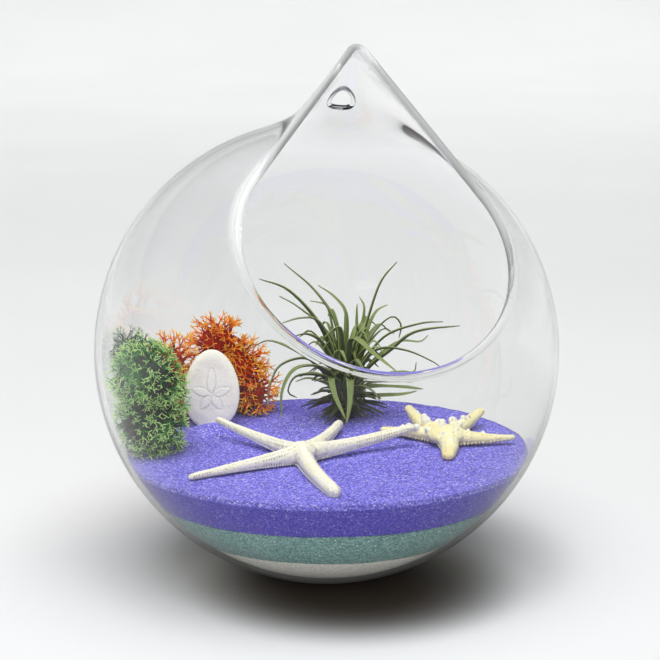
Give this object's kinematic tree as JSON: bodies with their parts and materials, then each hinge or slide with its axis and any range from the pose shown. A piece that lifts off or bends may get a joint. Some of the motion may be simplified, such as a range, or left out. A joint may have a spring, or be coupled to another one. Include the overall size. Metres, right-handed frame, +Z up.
{
  "type": "hanging glass ball vase",
  "caption": "Hanging ball vase of blown glass with a slanted teardrop mouth and a hang hole, filled with layers of sand, starfish, moss and an air plant.",
  "frame": {"origin": "centre of the small flat that the ball stands on", "axes": "+Z up, -Y towards the front, the side that the mouth faces"},
  "size_m": [0.18, 0.18, 0.2043],
  "materials": {
    "clear_glass": "clear, blown",
    "white_sand": "loose grains",
    "teal_sand": "loose grains",
    "violet_sand": "loose grains",
    "starfish": "dry, rough",
    "shell": "dry, fine grained",
    "green_moss": "dry, springy",
    "grey_moss": "dry, springy",
    "orange_moss": "dry, springy",
    "leaf": "soft, scaly"
  },
  "bodies": {
    "root": {"globe": "clear_glass", "white_sand": "white_sand", "teal_sand": "teal_sand", "violet_sand": "violet_sand", "finger_starfish": "starfish", "knobby_starfish": "starfish", "sand_dollar": "shell", "green_moss": "green_moss", "grey_moss": "grey_moss", "orange_moss": "orange_moss", "air_plant": "leaf"}
  },
  "joints": []
}
